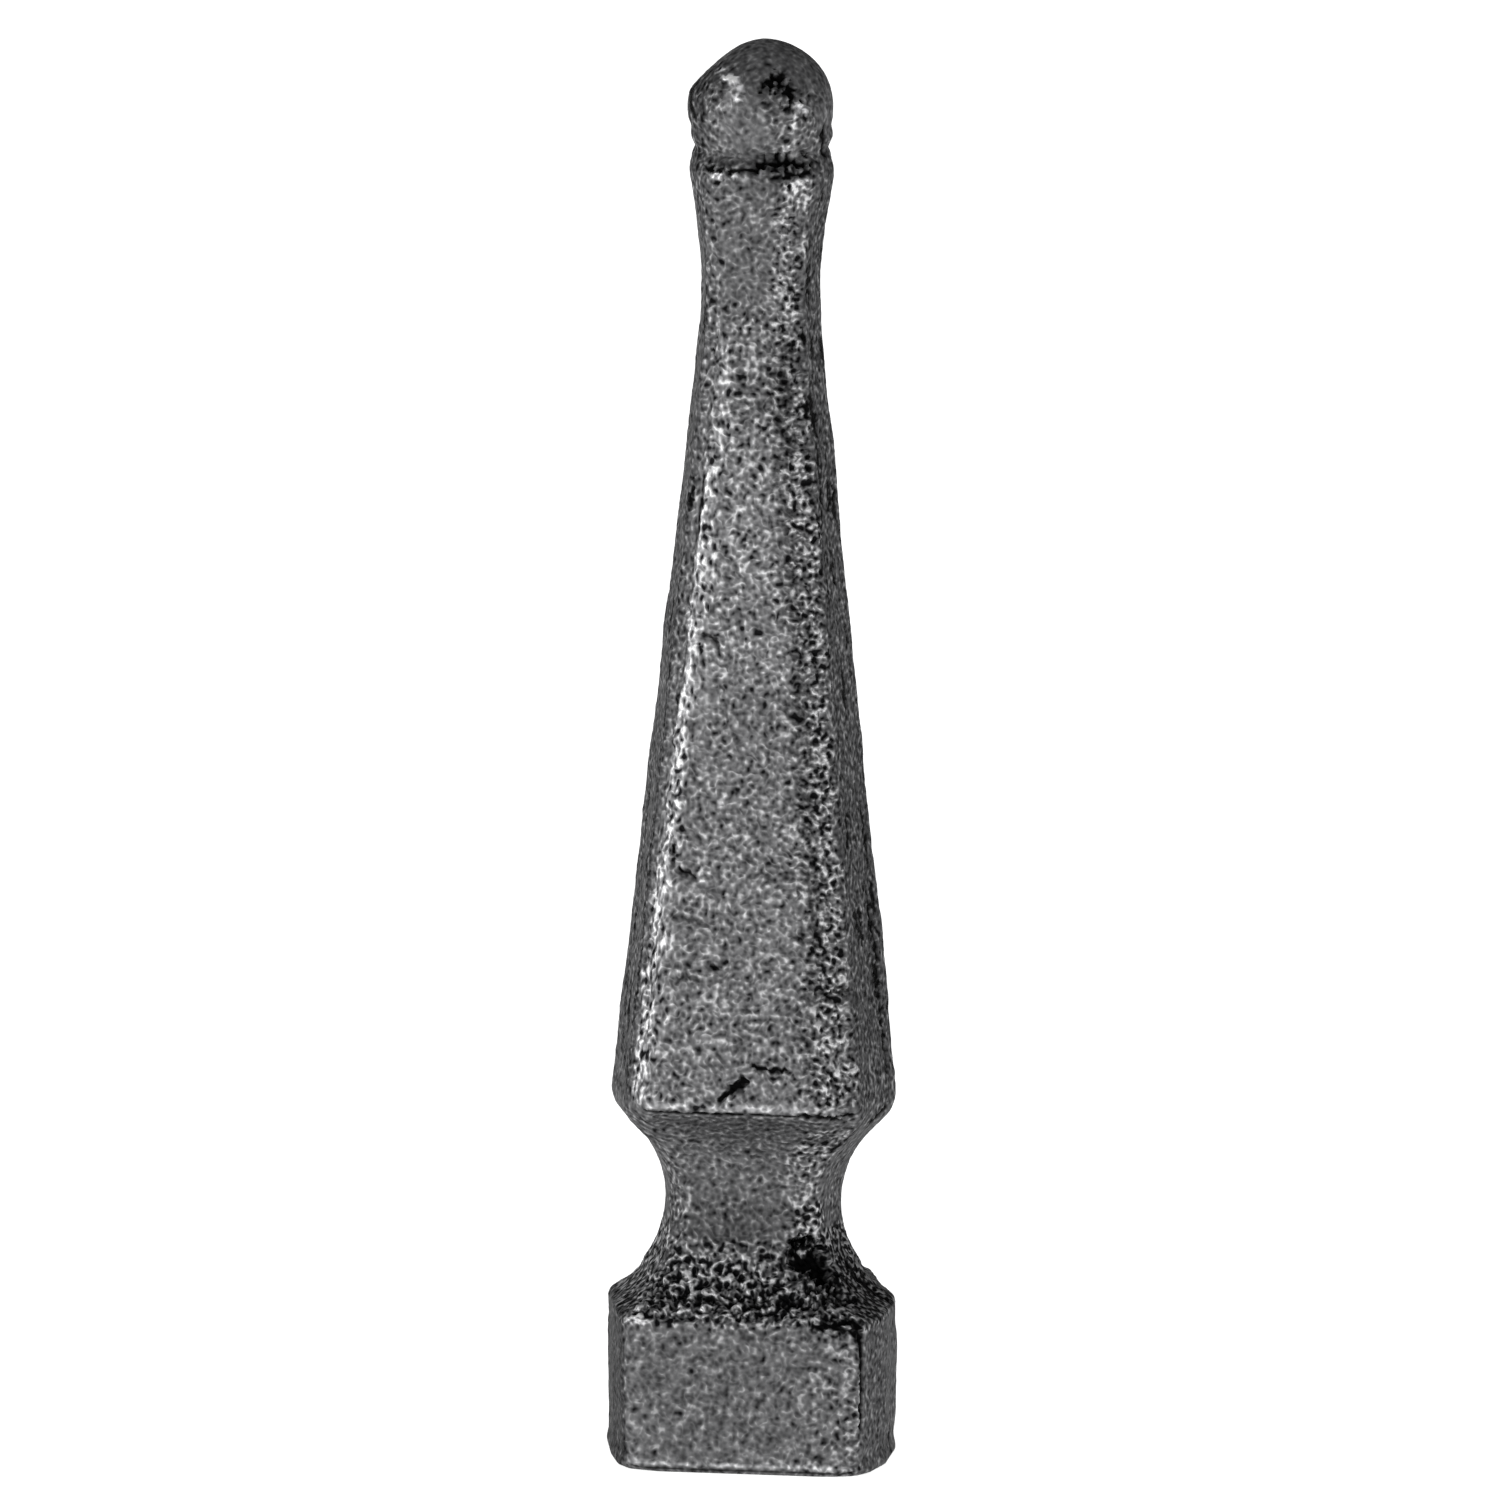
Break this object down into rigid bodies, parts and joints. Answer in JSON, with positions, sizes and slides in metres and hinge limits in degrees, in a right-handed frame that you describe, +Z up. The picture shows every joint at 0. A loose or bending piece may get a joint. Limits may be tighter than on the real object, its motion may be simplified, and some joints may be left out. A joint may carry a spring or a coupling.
{
  "type": "fence spear point",
  "caption": "One-piece cast-iron picket finial: square foot block, cove neck, chamfered tapering shaft, flared collar and round knob.",
  "frame": {"origin": "centre of the flat underside of the foot block, at the bottom of the part", "axes": "+Z up along the spear point's long axis, -Y out of its front face, +X to the right along the mould's parting plane"},
  "size_m": [0.0254, 0.0236, 0.1261],
  "materials": {
    "cast_iron": "bare sand-cast grey iron, rough and unpainted"
  },
  "bodies": {
    "root": {"spear_point": "cast_iron"}
  },
  "joints": []
}
